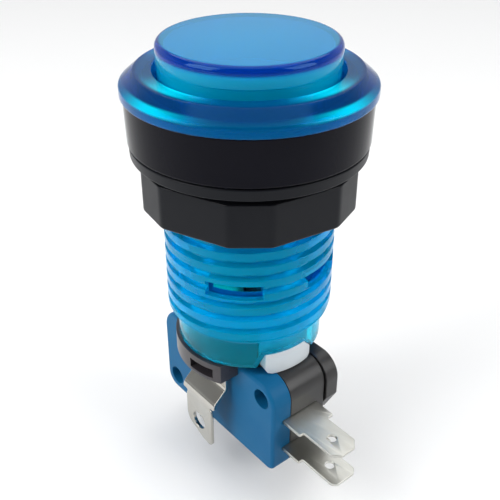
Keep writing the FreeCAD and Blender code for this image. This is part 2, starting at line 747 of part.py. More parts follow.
def make_lamp():
    """The small lamp: its base, its clear domed lens and its two bent leads."""
    lens_low = tower_top + lamp_base_rise
    lens_high = lens_low + lens_height
    subpart("led_base", cylinder("led_base", socket_radius - fit_gap, socket_bottom, lens_low,
                                 lamp_offset, 0))
    lens_radius = socket_radius - lens_inset
    body = cylinder("lens_body", lens_radius, lens_low, lens_high, lamp_offset, 0)
    dome = doc.addObject("Part::Sphere", "lens_ball")
    bind(dome, "Radius", lens_radius)
    place(dome, lamp_offset, 0, lens_high)
    upper = cylinder("dome_limit", lens_radius + clear, lens_high - bite, lens_high + lens_radius + clear,
                     lamp_offset, 0)
    subpart("led_lens", fuse("led_lens", body, common("lens_dome", dome, upper)))
    leads = []
    run_length = tower_depth / 2 - clear
    run_height = socket_bottom - lead_drop + bite
    for name, side, start in (("front", -1, -tower_depth / 2), ("rear", 1, clear)):
        leads.append(cylinder(f"{name}_lead_drop", lead_radius, socket_bottom - lead_drop, socket_bottom,
                              lamp_offset, lead_spread * side))
        leads.append(rod(f"{name}_lead_run", lead_radius, start, run_length, lamp_offset, run_height))
    subpart("led_leads", fuse("led_leads", *leads))


def make_latch_ring():
    """White ring round the tower with two leaves that end in the lugs seen in the skirt's notches."""
    low = latch_top - latch_height
    outer = cylinder("latch_outer", latch_outer, low, latch_top)
    inner = cylinder("latch_inner", latch_inner, low - clear, latch_top + clear)
    pieces = [cut("latch_band", outer, inner)]
    for index in range(2):
        direction = leaf_direction + 180 * index
        pieces.append(tube_sector(f"leaf{index + 1}", leaf_inner, latch_outer, skirt_bottom,
                                  low + wall_bite, direction, leaf_angle))
    lug_ring_outer = cylinder("lug_outer", skirt_radius, lug_bottom, notch_top - fit_gap)
    lug_ring_inner = cylinder("lug_inner", leaf_inner, lug_bottom - clear, notch_top + clear)
    lug_band = cut("lug_band", lug_ring_outer, lug_ring_inner)
    reach = skirt_radius + clear
    eased = lug_corner_left * (1 - math.sqrt(0.5))
    slant_foot = skirt_bottom + lug_corner_right
    shape = [(lug_left, notch_top), (lug_left, lug_bottom + lug_corner_left),
             (lug_left + eased, lug_bottom + eased), (lug_left + lug_corner_left, lug_bottom),
             (lug_right - lug_corner_right, lug_bottom), (lug_right, lug_bottom + lug_corner_right),
             (lug_right, slant_foot), (notch_half_top - lug_side_gap, notch_top)]
    for index in range(2):
        block = prism(f"lug_block{index + 1}", "YZ_Plane", 0, reach, shape)
        turned(f"lug_prism{index + 1}", block, notch_direction + 180 * index)
        pieces.append(common(f"lug{index + 1}", lug_band, block))
    subpart("latch_ring", fuse("latch_ring", *pieces))


# ---------------------------------------------------------------- microswitch

def fixing_holes():
    """The switch's two fixing holes as (x, z), on the diagonal."""
    low = (switch_left + fixing_inset, switch_bottom + fixing_inset)
    high = (low[0] + fixing_spacing_long, low[1] + fixing_spacing_high)
    return low, high


def switch_block(name, front, back):
    """A slab of the switch's outline, with its rounded corners."""
    block = prism(name, "XZ_Plane", front, back, [
        (switch_left, switch_bottom), (switch_right, switch_bottom), (switch_right, switch_top),
        (switch_left, switch_top)])
    round_edges(block, corner_large, lambda p: near(p.z, switch_top)
                and (near(p.x, switch_left) or near(p.x, switch_right)))
    round_edges(block, corner_small, lambda p: near(p.z, switch_bottom) and near(p.x, switch_left))
    round_edges(block, corner_end, lambda p: near(p.z, switch_bottom) and near(p.x, switch_right))
    return block


def cavity(name, front, back):
    """The switch's inner space in one slab."""
    return box(name, (switch_left + wall, front, switch_bottom + wall),
               (switch_right - wall, back, switch_top - wall))


def post_and_hole(name, front, back):
    """Solid posts round the fixing holes, and the holes through them."""
    posts = []
    holes = []
    through = switch_thickness + clear * 2
    for index, (x, z) in enumerate(fixing_holes()):
        posts.append(rod(f"{name}_post{index + 1}", fixing_radius + post_wall, front, back - front, x, z))
        holes.append(rod(f"{name}_hole{index + 1}", fixing_radius, switch_front - clear, through, x, z))
    return posts, holes


def make_switch_cover():
    block = switch_block("cover_block", switch_front, split_plane - case_join)
    round_edges(block, cover_round, lambda p: near(p.y, switch_front))
    floor = switch_front + wall
    hollow = cavity("cover_hollow", floor, split_plane + clear)
    posts, holes = post_and_hole("cover", floor, split_plane - case_join)
    shell = fuse("cover_shell", cut("cover_walls", block, hollow), *trim(posts, "cover_post", block))
    slits = end_slits("cover", split_plane + clear)
    slits.append(common_slit("cover", split_plane + clear))
    subpart("switch_cover", cut("switch_cover", shell, *holes, *slits))


def trim(posts, name, block):
    """Keeps only what lies inside the block."""
    return [common(f"{name}{index + 1}", post, block) for index, post in enumerate(posts)]


def make_switch_case():
    block = switch_block("case_block", split_plane + case_join, switch_back)
    hollow = cavity("case_hollow", split_plane - clear, switch_back - wall)
    posts, holes = post_and_hole("case", split_plane + case_join, switch_back - wall / 2)
    shell = fuse("case_shell", cut("case_walls", block, hollow), *trim(posts, "case_post", block))
    slits = end_slits("case", switch_front + tab_root_inset + tab_root_width + fit_gap)
    slits.append(common_slit("case", switch_front + common_tab_front + common_tab_width + fit_gap))
    pin_way = cylinder("pin_way", pin_radius + bite, switch_top - wall - clear, switch_top + clear,
                       pin_offset, switch_middle)
    subpart("switch_case", cut("switch_case", shell, *holes, *slits, pin_way))


def end_slits(name, back):
    """The openings in the end wall that the two tabs leave through."""
    half = tab_thickness / 2 + fit_gap
    front = switch_front + tab_root_inset - fit_gap
    return [box(f"{name}_{label}_slit", (switch_right - wall - clear, front, height - half),
                (switch_right + clear, back, height + half))
            for label, height in (("upper", upper_tab), ("lower", lower_tab))]


def common_slit(name, back):
    x = common_tab_place()
    half = tab_thickness / 2 + fit_gap
    return box(f"{name}_common_slit",
               (x - half, switch_front + common_tab_front - fit_gap, switch_bottom - clear),
               (x + half, back, switch_bottom + wall + clear))


def common_tab_place():
    return switch_left + common_tab_inset


def make_end_terminal(node, height, tip_cut, contact_below):
    """A flat tab: wide root, narrower blade with a hole, and the fixed contact inside the switch."""
    near_edge = switch_front + tab_root_inset
    far_edge = near_edge + tab_root_width
    middle = switch_front + tab_middle_inset
    half = tab_width / 2
    inward = contact_place - contact_radius - wall_bite
    shoulder = switch_right + tab_root_reach
    tip = switch_right + tab_reach
    low = height - tab_thickness / 2
    high = height + tab_thickness / 2
    plate = prism(f"{node}_plate", "XY_Plane", low, high, [
        (inward, near_edge), (shoulder, near_edge), (shoulder, middle - half), (tip - tip_cut, middle - half),
        (tip, middle - half + tip_cut), (tip, middle + half - tip_cut), (tip - tip_cut, middle + half),
        (shoulder, middle + half), (shoulder, far_edge), (inward, far_edge)])
    hole = cylinder(f"{node}_hole", tab_hole_radius, low - clear, high + clear,
                    switch_right + tab_hole_reach, middle)
    ends = (low - contact_height, low) if contact_below else (high, high + contact_height)
    rivet = cylinder(f"{node}_rivet", contact_radius, *ends, contact_place, switch_middle)
    subpart(node, fuse(node, cut(f"{node}_drilled", plate, hole), rivet))


def make_common_terminal():
    """An upright tab under the switch; its inner arm carries the blade's pivot end."""
    x = common_tab_place()
    half = tab_thickness / 2
    near_edge = switch_front + common_tab_front
    far_edge = near_edge + common_tab_width
    arm_top = blade_height - blade_thickness / 2 - fit_gap
    upright = box("common_upright", (x - half, near_edge, switch_bottom - common_tab_reach),
                  (x + half, far_edge, arm_top))
    arm = box("common_arm", (x - half, near_edge, arm_top - tab_thickness),
              (blade_left + common_arm_past_pivot, far_edge, arm_top))
    subpart("common_terminal", fuse("common_terminal", upright, arm))


def make_blade():
    """The moving blade, curled at its pivot, with the double-sided contact at its free end."""
    half = blade_thickness / 2
    near_edge = switch_middle - blade_width / 2
    far_edge = switch_middle + blade_width / 2
    corners = ((blade_left, near_edge, blade_height - half), (blade_right, far_edge, blade_height + half))
    curl = rod("blade_curl", blade_curl, near_edge, blade_width, blade_left, blade_height)
    subpart("contact_blade", fuse("contact_blade", box("blade_plate", *corners), curl))
    rivet = cylinder("moving_rivet", contact_radius, blade_height - half - button_height,
                     blade_height + half + button_height, contact_place, switch_middle)
    subpart("moving_contact", cut("moving_contact", rivet, box("blade_gap", *corners)))


def make_pin():
    collar_top = switch_top - wall - fit_gap
    pieces = [
        cylinder("pin_rod", pin_radius, pin_bottom, pin_top, pin_offset, switch_middle),
        cylinder("pin_collar", pin_collar_radius, collar_top - pin_collar_height, collar_top, pin_offset,
                 switch_middle),
    ]
    subpart("switch_pin", fuse("switch_pin", *pieces))


def make_pin_spring():
    low = blade_height + blade_thickness / 2 + thin_gap
    high = pin_bottom - thin_gap
    subpart("pin_spring", coil_spring("pin_spring", pin_spring_wire, pin_spring_radius, low, high,
                                      pin_spring_turns, pin_offset, switch_middle))


# ---------------------------------------------------------------- bracket behind the switch

def bracket_tongue():
    """The space in the holder's base plate for the bracket's tongue, as two corners."""
    front = switch_back + holder_gap
    half = bracket_tongue_width / 2
    return ((-half, front, base_bottom - bite), (half, front + bracket_thickness, base_top + bite))


def make_bracket():
    """Black plate behind the switch, with a cut lower corner and a hole in line with the switch's."""
    front = switch_back + holder_gap
    back = front + bracket_thickness
    top = base_bottom - thin_gap
    end = switch_right + bracket_overhang
    plate = prism("bracket_plate", "XZ_Plane", front, back, [
        (switch_left, bracket_bottom), (end - bracket_cut_across, bracket_bottom),
        (end, bracket_bottom + bracket_cut_up), (end, top), (switch_left, top)])
    round_edges(plate, corner_large, lambda p: near(p.z, top) and (near(p.x, switch_left) or near(p.x, end)))
    low, high = bracket_tongue()
    tongue = box("bracket_tongue", (low[0] + thin_gap, front, top - wall_bite),
                 (high[0] - thin_gap, back, base_top - thin_gap))
    x, z = fixing_holes()[1]
    hole = rod("bracket_hole", fixing_radius, front - clear, bracket_thickness + clear * 2, x, z)
    subpart("switch_bracket", cut("switch_bracket", fuse("bracket_solid", plate, tongue), hole))


# ---------------------------------------------------------------- build, check and write

def build():
    make_housing()
    make_collar()
    make_washer()
    make_nut()
    make_cap()
    make_diffuser()
    make_plunger()
    make_return_spring()
    make_lamp_holder()
    make_lamp_contact("lamp_contact_front", 1)
    make_lamp_contact("lamp_contact_rear", -1)
    make_lamp()
    make_latch_ring()
    make_switch_cover()
    make_switch_case()
    make_end_terminal("nc_terminal", upper_tab, tab_tip_cut, True)
    make_end_terminal("no_terminal", lower_tab, tab_tip_cut / 2, False)
    make_common_terminal()
    make_blade()
    make_pin()
    make_pin_spring()
    make_bracket()


def check():
    """Stops on any failed object or bad solid."""
    for item in doc.Objects:
        if "Invalid" in item.State or "Error" in item.State:
            raise RuntimeError(f"{item.Label} failed: {item.State}")
    for item in subparts:
        if item.Shape.isNull() or not item.Shape.isValid():
            raise RuntimeError(f"{item.Label} has a bad shape")


build()
doc.recompute()
check()
os.makedirs("parts", exist_ok=True)
for item in subparts:
    item.Shape.exportStep(f"parts/{item.Label}.step")
    print(f"{item.Label}: {len(item.Shape.Solids)} solid, {item.Shape.Volume:.1f} mm3")
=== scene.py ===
"""Illuminated panel push button: finished surfaces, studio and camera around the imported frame."""
import bmesh
import bpy
import json
import math
from mathutils import Matrix, Vector


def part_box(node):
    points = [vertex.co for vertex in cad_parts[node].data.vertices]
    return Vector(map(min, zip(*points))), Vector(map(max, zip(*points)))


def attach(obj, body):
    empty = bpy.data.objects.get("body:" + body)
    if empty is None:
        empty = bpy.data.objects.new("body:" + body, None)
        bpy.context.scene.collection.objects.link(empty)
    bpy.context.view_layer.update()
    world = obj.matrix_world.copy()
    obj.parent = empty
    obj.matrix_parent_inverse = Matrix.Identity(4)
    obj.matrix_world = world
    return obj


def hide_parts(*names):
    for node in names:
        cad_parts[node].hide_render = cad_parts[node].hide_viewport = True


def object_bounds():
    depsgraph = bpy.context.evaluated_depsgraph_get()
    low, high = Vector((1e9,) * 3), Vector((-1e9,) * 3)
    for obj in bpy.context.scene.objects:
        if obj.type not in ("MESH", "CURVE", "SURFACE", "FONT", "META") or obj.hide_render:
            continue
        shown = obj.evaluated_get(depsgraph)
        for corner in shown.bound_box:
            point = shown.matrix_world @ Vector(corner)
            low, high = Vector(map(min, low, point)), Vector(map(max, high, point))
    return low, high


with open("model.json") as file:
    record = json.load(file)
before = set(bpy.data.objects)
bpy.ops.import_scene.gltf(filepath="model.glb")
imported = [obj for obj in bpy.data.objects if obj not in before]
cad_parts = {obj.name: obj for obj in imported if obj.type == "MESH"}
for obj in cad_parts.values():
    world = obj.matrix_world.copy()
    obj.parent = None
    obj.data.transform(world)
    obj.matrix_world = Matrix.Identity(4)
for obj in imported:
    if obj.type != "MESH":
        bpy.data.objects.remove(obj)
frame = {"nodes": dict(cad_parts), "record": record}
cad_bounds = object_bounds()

MM = 0.001
TURN = 2 * math.pi
ROUND_STEPS = 240        # facets round a turned piece
FILLET_STEPS = 5         # facets in a rounded profile corner
HOLE_STEPS = 40          # facets round a punched hole
WAVE_SCALE = 20          # a wave texture's phase, in radians, for a unit of length at a scale of one

# housing, in millimetres; heights are from the panel plane
HOLE_R = 12.6
FLAT_R = 15.0
BEZEL_R = 16.99          # a hair inside the 17 mm of the solid
BEZEL_TOP = 9.6
BEVEL_FOOT = 7.9
BEZEL_UNDER = 6.5
BOSS_R = 14.2
BOSS_LOW = 1.6
ROOT_R = 11.6
CREST_R = 12.37
PITCH = 2.2
RIDGE_FOOT = 0.90        # half widths of one thread ridge
RIDGE_CREST = 0.60
THREAD_LOW = -26.2
THREAD_HIGH = 1.3
RIDGE_START = -25.0      # height of the ridge's middle at zero angle
SHOULDER_FOOT = -27.35
SKIRT_R = 10.97
SKIRT_LOW = -31.95
CHAMBER_R = 9.9
CHAMBER_TOP = -22.5
GUIDE_R = 9.15
LEDGE = 3.0
GROOVE_R = 10.2
GROOVE_TOP = -16.5
GROOVE_LOW = -20.9
WINDOW_LOW = -18.9
WINDOW_HIGH = -16.7
WINDOW_ANGLE = 38
WINDOW_DIRECTIONS = (-49.4, 20.6, 130.6, 200.6)
NOTCH_DIRECTION = -9.4
NOTCH_TOP = -29.7
NOTCH_HALF = 3.4
NOTCH_FOOT = (-4.6, 5.35)
NOTCH_START_R = 8.4
CUTTER_MARGIN = 0.8      # how far a window's cutter stands past the wall on each side

# nut
NUT_VERTEX_R = 15.32
NUT_HALF_CUT = 10.8
NUT_DIRECTION = -38.8
NUT_BORE = 12.62
NUT_RIDGE_R = 11.85
NUT_RIDGE_FOOT = 0.5
NUT_RIDGE_CREST = 0.16


# ---------------------------------------------------------------- materials

def set_inputs(node, values):
    for name, value in values.items():
        node.inputs[name].default_value = value


def noise(tree, scale, detail=4.0, roughness=0.55, stretch=(1, 1, 1)):
    """A noise texture in the piece's own coordinates, which are metres."""
    where = tree.nodes.new("ShaderNodeTexCoord")
    spread = tree.nodes.new("ShaderNodeMapping")
    spread.inputs["Scale"].default_value = stretch
    texture = tree.nodes.new("ShaderNodeTexNoise")
    set_inputs(texture, {"Scale": scale, "Detail": detail, "Roughness": roughness})
    tree.links.new(where.outputs["Object"], spread.inputs["Vector"])
    tree.links.new(spread.outputs["Vector"], texture.inputs["Vector"])
    return texture


def vary(tree, source, low, high):
    """Maps a texture's middle range to low..high."""
    ranged = tree.nodes.new("ShaderNodeMapRange")
    set_inputs(ranged, {"From Min": 0.3, "From Max": 0.7, "To Min": low, "To Max": high})
    tree.links.new(source, ranged.inputs["Value"])
    return ranged.outputs["Result"]


def where_on_piece(tree):
    """Height above the panel plane, distance from the barrel's axis, and turn about it."""
    place = tree.nodes.new("ShaderNodeTexCoord")
    parts = tree.nodes.new("ShaderNodeSeparateXYZ")
    tree.links.new(place.outputs["Object"], parts.inputs["Vector"])
    flat = tree.nodes.new("ShaderNodeCombineXYZ")
    tree.links.new(parts.outputs["X"], flat.inputs["X"])
    tree.links.new(parts.outputs["Y"], flat.inputs["Y"])
    reach = tree.nodes.new("ShaderNodeVectorMath")
    reach.operation = "LENGTH"
    tree.links.new(flat.outputs["Vector"], reach.inputs[0])
    turn = tree.nodes.new("ShaderNodeMath")
    turn.operation = "ARCTAN2"
    tree.links.new(parts.outputs["Y"], turn.inputs[0])
    tree.links.new(parts.outputs["X"], turn.inputs[1])
    return parts.outputs["Z"], reach.outputs["Value"], turn.outputs["Value"]


def stepped(tree, source, low, high):
    """0 below low and 1 above high, both in millimetres, with a soft change between."""
    ranged = tree.nodes.new("ShaderNodeMapRange")
    ranged.interpolation_type = "SMOOTHSTEP"
    set_inputs(ranged, {"From Min": low * MM, "From Max": high * MM})
    tree.links.new(source, ranged.inputs["Value"])
    return ranged.outputs["Result"]


def combined(tree, operation, first, second):
    node = tree.nodes.new("ShaderNodeMath")
    node.operation = operation
    for socket, value in zip(node.inputs, (first, second)):
        if isinstance(value, (int, float)):
            socket.default_value = value
        else:
            tree.links.new(value, socket)
    return node.outputs["Value"]


def product(tree, first, second):
    return combined(tree, "MULTIPLY", first, second)


def below(tree, source, low, high):
    """1 below low and 0 above high, both in millimetres."""
    return combined(tree, "SUBTRACT", 1.0, stepped(tree, source, low, high))


def band(tree, source, low, high, soft):
    """1 between two distances in millimetres, fading over the soft width outside them."""
    rise = stepped(tree, source, low - soft, low)
    fall = stepped(tree, source, high, high + soft)
    return combined(tree, "SUBTRACT", rise, fall)


def painted(tree, base, colour, share):
    """Mixes one colour over what is there, by a share that varies over the piece."""
    mix = tree.nodes.new("ShaderNodeMix")
    mix.data_type = "RGBA"
    mix.inputs["B"].default_value = (*colour, 1)
    tree.links.new(base, mix.inputs["A"])
    tree.links.new(share, mix.inputs["Factor"])
    return mix.outputs["Result"]


def cleared(material, low, high, clear, hazy):
    """Makes a moulding clearer below a height in millimetres, where its wall is thin and polished."""
    tree = material.node_tree
    share = stepped(tree, where_on_piece(tree)[0], low, high)
    ranged = tree.nodes.new("ShaderNodeMapRange")
    set_inputs(ranged, {"To Min": clear, "To Max": hazy})
    tree.links.new(share, ranged.inputs["Value"])
    tree.links.new(ranged.outputs["Result"], tree.nodes["Principled BSDF"].inputs["Transmission Weight"])


def painted_glow(material, shares, colour, strength):
    """Painted glow and painted highlights: emission over the given shares of the piece, standing in for light
    the dyed plastic carries inside it.
    """
    tree = material.node_tree
    places = where_on_piece(tree)
    total = 0.0
    for share_of in shares:
        total = combined(tree, "ADD", total, share_of(tree, *places))
    shader = tree.nodes["Principled BSDF"]
    shader.inputs["Emission Color"].default_value = (*colour, 1)
    tree.links.new(product(tree, total, strength), shader.inputs["Emission Strength"])


def ribbed(material, period, height):
    """Fine tool lines round a turned surface, added to the relief that is there."""
    tree = material.node_tree
    hump = next(node for node in tree.nodes if node.type == "BUMP")
    lines = tree.nodes.new("ShaderNodeTexWave")
    lines.bands_direction = "Z"
    set_inputs(lines, {"Scale": TURN / (WAVE_SCALE * period), "Distortion": 0.4, "Detail": 1.0})
    where = tree.nodes.new("ShaderNodeTexCoord")
    tree.links.new(where.outputs["Object"], lines.inputs["Vector"])
    first = hump.inputs["Height"].links[0].from_socket
    raised = product(tree, lines.outputs["Fac"], height)
    tree.links.new(combined(tree, "ADD", first, raised), hump.inputs["Height"])


def zoned(material, zones):
    """Lays colour zones over a translucent moulding, depth colours and also painted shade and painted
    highlights: (share maker, colour) pairs, first to last.
    """
    tree = material.node_tree
    shader = tree.nodes["Principled BSDF"]
    places = where_on_piece(tree)
    base = shader.inputs["Base Color"].links[0].from_socket
    for share_of, colour in zones:
        base = painted(tree, base, colour, share_of(tree, *places))
    tree.links.new(base, shader.inputs["Base Color"])
    return material


def finish(name, colour, roughness, spread=0.06, tint=None, tint_scale=90, grain=2500, bump=0.06,
           depth=0.00002, stretch=(1, 1, 1), absorb=None, **sockets):
    """A material with mottled roughness and fine relief; tint adds blotches of a second colour."""
    material = bpy.data.materials.new(name)
    material.use_nodes = True
    tree = material.node_tree
    shader = tree.nodes["Principled BSDF"]
    set_inputs(shader, {"Base Color": (*colour, 1)})
    set_inputs(shader, sockets)
    wear = noise(tree, 160, stretch=stretch)
    tree.links.new(vary(tree, wear.outputs["Fac"], roughness - spread / 2, roughness + spread / 2),
                   shader.inputs["Roughness"])
    relief = noise(tree, grain, detail=3, stretch=stretch)
    hump = tree.nodes.new("ShaderNodeBump")
    set_inputs(hump, {"Strength": bump, "Distance": depth})
    tree.links.new(relief.outputs["Fac"], hump.inputs["Height"])
    tree.links.new(hump.outputs["Normal"], shader.inputs["Normal"])
    if tint:
        blotches = noise(tree, tint_scale, detail=5, stretch=stretch)
        mix = tree.nodes.new("ShaderNodeMix")
        mix.data_type = "RGBA"
        mix.inputs["A"].default_value = (*colour, 1)
        mix.inputs["B"].default_value = (*tint, 1)
        tree.links.new(vary(tree, blotches.outputs["Fac"], 0.0, 1.0), mix.inputs["Factor"])
        tree.links.new(mix.outputs["Result"], shader.inputs["Base Color"])
    if absorb:
        volume = tree.nodes.new("ShaderNodeVolumeAbsorption")
        set_inputs(volume, {"Color": (*absorb[0], 1), "Density": absorb[1]})
        output = next(node for node in tree.nodes if node.type == "OUTPUT_MATERIAL")
        tree.links.new(volume.outputs["Volume"], output.inputs["Volume"])
    return material


DYE = (0.05, 0.85, 0.975)
ARCS = 4                             # painted highlight arcs round the bezel
ARC_SHARPNESS = 3.0
HIGHLIGHT_GAP_TURN = math.radians(-39.4)      # a dark gap between the painted highlight arcs, on the side the photo was taken from
BARREL_SHARE = 0.05                  # the barrel's painted glow, as a share of the painted highlight arcs'
CAP_FACE_SHARE = 0.35


def painted_highlight_arcs(tree, turn):
    """Four painted highlight arcs round the bezel. The photo shows the two beside the gap; the others repeat
    them.
    """
    from_dark = combined(tree, "SUBTRACT", turn, HIGHLIGHT_GAP_TURN)
    lobes = combined(tree, "COSINE", product(tree, from_dark, ARCS), 0)
    share = combined(tree, "MULTIPLY_ADD", lobes, -0.5)
    share.node.inputs[2].default_value = 0.5
    return combined(tree, "POWER", share, ARC_SHARPNESS)


# Each zone gives its share, 0 to 1, at a point's height, reach from the axis and turn about it.

# Painted highlight: bright arcs on the bezel's top round the hole, in base colour and emission.
def hole_painted_highlight(tree, height, reach, turn):
    ring = product(tree, band(tree, reach, 12.4, 14.1, 0.7), stepped(tree, height, 8.4, 9.2))
    return product(tree, ring, painted_highlight_arcs(tree, turn))


def barrel_painted_glow(tree, height, reach, turn):
    """Painted glow: a faint emission all round the threaded barrel."""
    return product(tree, band(tree, height, -27.0, -8.0, 2.0), BARREL_SHARE)


# Painted highlight: bright arcs along the foot of the bezel's slope, in base colour and emission.
def foot_painted_highlight(tree, height, reach, turn):
    ring = product(tree, band(tree, reach, 16.35, 16.9, 0.3), band(tree, height, 7.9, 8.35, 0.35))
    return product(tree, ring, painted_highlight_arcs(tree, turn))


def window_painted_shade(tree, height, reach, turn):
    """Painted shade: the inner part of the wall at the windows' height is darkened."""
    return product(tree, band(tree, height, WINDOW_LOW, WINDOW_HIGH, 0.1), below(tree, reach, 11.3, 11.6))


# Painted shade: the barrel's inner wall is darkened from below the windows to above them.
def inner_wall_painted_shade(tree, height, reach, turn):
    return product(tree, band(tree, height, -22.3, -10.0, 1.5), below(tree, reach, 10.2, 10.4))


def skirt(tree, height, reach, turn):
    return below(tree, height, -27.9, -27.2)


def bezel(tree, height, reach, turn):
    return stepped(tree, height, 6.2, 6.6)


# Painted shade: the bezel's sloped bevel is coloured darker than its flat top.
def bevel(tree, height, reach, turn):
    return product(tree, band(tree, reach, 14.9, 16.3, 0.6), stepped(tree, height, 7.6, 8.6))


def cap_face(tree, height, reach, turn):
    return product(tree, stepped(tree, reach, 3.0, 11.3), CAP_FACE_SHARE)


def cap_rim(tree, height, reach, turn):
    return product(tree, stepped(tree, reach, 11.25, 11.6), stepped(tree, height, 11.95, 12.35))


def cap_side(tree, height, reach, turn):
    return below(tree, height, 11.6, 12.2)


HOUSING_ZONES = (
    # painted shade round the windows
    (window_painted_shade, (0.0, 0.04, 0.26)),
    # painted shade on the inner wall
    (inner_wall_painted_shade, (0.0, 0.30, 0.74)),
    (skirt, (0.0, 0.80, 0.95)),
    (bezel, (0.0, 0.24, 0.58)),
    # painted shade on the bevel
    (bevel, (0.004, 0.12, 0.42)),
    # painted highlight at the bezel's foot
    (foot_painted_highlight, (0.0, 0.9, 1.0)),
    # painted highlight round the hole
    (hole_painted_highlight, (0.0, 0.95, 1.0)),
)
CAP_ZONES = (
    (cap_face, (0.0, 0.42, 0.85)),
    (cap_rim, (0.0, 0.06, 0.46)),
    (cap_side, (0.0, 0.70, 0.95)),
)
BLUE = {"Transmission Weight": 0.72, "IOR": 1.3, "Specular IOR Level": 0.4,
        "Specular Tint": (0.15, 0.7, 1.0, 1.0)}
materials = {
    "blue_clear": finish("blue_clear", (0.0, 0.10, 0.42), 0.16, spread=0.08, bump=0.05, absorb=(DYE, 700.0),
                         tint=(0.0, 0.08, 0.36), **BLUE),
    "cap_blue": zoned(finish("cap_blue", (0.0, 0.56, 0.94), 0.06, spread=0.03, bump=0.02,
                             absorb=(DYE, 900.0), tint=(0.0, 0.53, 0.91),
                             **{"Transmission Weight": 0.62, "IOR": 1.4, "Specular IOR Level": 0.4,
                                "Specular Tint": (0.3, 0.75, 1.0, 1.0)}), CAP_ZONES),
    "white_plastic": finish("white_plastic", (0.70, 0.75, 0.78), 0.38, tint=(0.64, 0.70, 0.74),
                            **{"Subsurface Weight": 0.35, "Subsurface Scale": 0.002,
                               "Subsurface Radius": (1.0, 1.0, 1.0)}),
    "black_gloss": finish("black_gloss", (0.002, 0.002, 0.005), 0.10, spread=0.06, bump=0.03,
                          tint=(0.004, 0.004, 0.008), **{"Specular IOR Level": 0.08}),
    "black_satin": finish("black_satin", (0.008, 0.009, 0.012), 0.34, spread=0.1, bump=0.12,
                          tint=(0.010, 0.011, 0.014), **{"Specular IOR Level": 0.12}),
    "smoke_plastic": finish("smoke_plastic", (0.055, 0.048, 0.055), 0.3, tint=(0.04, 0.036, 0.042), bump=0.1,
                            **{"Transmission Weight": 0.25, "IOR": 1.5}),
    "switch_blue": finish("switch_blue", (0.004, 0.112, 0.265), 0.42, spread=0.12,
                          tint=(0.006, 0.130, 0.29), bump=0.2, **{"Specular IOR Level": 0.12}),
    "switch_black": finish("switch_black", (0.010, 0.010, 0.011), 0.36, spread=0.12,
                           tint=(0.016, 0.015, 0.015), bump=0.22),
    "nickel": finish("nickel", (0.54, 0.53, 0.49), 0.17, spread=0.1, tint=(0.46, 0.44, 0.39), tint_scale=140,
                     bump=0.03, stretch=(1, 1, 0.4), Metallic=1.0),
    "tin": finish("tin", (0.64, 0.64, 0.60), 0.34, spread=0.14, tint=(0.46, 0.45, 0.41), tint_scale=180,
                  bump=0.04, stretch=(0.5, 1, 1), Metallic=1.0),
    "spring_steel": finish("spring_steel", (0.5, 0.5, 0.52), 0.3, tint=(0.4, 0.4, 0.42), Metallic=1.0),
    "copper_alloy": finish("copper_alloy", (0.72, 0.42, 0.2), 0.3, tint=(0.6, 0.34, 0.16), Metallic=1.0),
    "contact_silver": finish("contact_silver", (0.8, 0.8, 0.78), 0.3, tint=(0.7, 0.7, 0.66), Metallic=1.0),
    "lens_clear": finish("lens_clear", (1, 1, 1), 0.08, **{"Transmission Weight": 1.0, "IOR": 1.5}),
}
housing_blue = zoned(finish("housing_blue", (0.0, 0.70, 0.98), 0.13, spread=0.1, bump=0.08,
                            absorb=(DYE, 600.0), tint=(0.0, 0.60, 0.94), tint_scale=70, **BLUE), HOUSING_ZONES)
cleared(housing_blue, -27.6, -26.8, 0.9, BLUE["Transmission Weight"])
# painted highlights on the bezel and a painted glow on the barrel, as emission
painted_glow(housing_blue, (hole_painted_highlight, foot_painted_highlight, barrel_painted_glow), (0.0, 0.72, 1.0), 0.5)
ribbed(housing_blue, 0.00037, 0.25)
slot_of = {entry["node"]: entry["material_slot"] for entry in frame["record"]["subparts"]}


# ---------------------------------------------------------------- mesh tools

def new_object(name, mesh):
    item = bpy.data.objects.new(name, mesh)
    bpy.context.scene.collection.objects.link(item)
    return item


def smooth(item, angle=32):
    """Smooth shading, kept crisp where faces meet at more than the angle."""
    item.data.polygons.foreach_set("use_smooth", [True] * len(item.data.polygons))
    item.data.set_sharp_from_angle(angle=math.radians(angle))
    weighted = item.modifiers.new("weighted", "WEIGHTED_NORMAL")
    weighted.keep_sharp = True
    graph = bpy.context.evaluated_depsgraph_get()
    mesh = bpy.data.meshes.new_from_object(item.evaluated_get(graph))
    item.modifiers.clear()
    item.data = mesh


def stand_for(item, node, material=None):
    """The finished piece takes the place, body and material slot of one CAD node."""
    smooth(item)
    item.data.materials.clear()
    item.data.materials.append(material or materials[slot_of[node]])
    body = next(name for name, nodes in frame["record"]["behaviour"]["bodies"].items() if node in nodes)
    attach(item, body)
    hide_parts(node)


def rounded(points):
    """A closed (radius, height) outline in millimetres; a third number rounds that corner."""
    outline = []
    count = len(points)
    for index, point in enumerate(points):
        corner = Vector(point[:2])
        if len(point) < 3:
            outline.append(corner)
            continue
        back = (Vector(points[index - 1][:2]) - corner).normalized()
        ahead = (Vector(points[(index + 1) % count][:2]) - corner).normalized()
        half = back.angle(ahead) / 2
        centre = corner + (back + ahead).normalized() * (point[2] / math.sin(half))
        start = corner + back * (point[2] / math.tan(half)) - centre
        end = corner + ahead * (point[2] / math.tan(half)) - centre
        sweep = start.angle_signed(end)
        for step in range(FILLET_STEPS + 1):
            turn = Matrix.Rotation(-sweep * step / FILLET_STEPS, 2)
            outline.append(centre + turn @ start)
    return outline


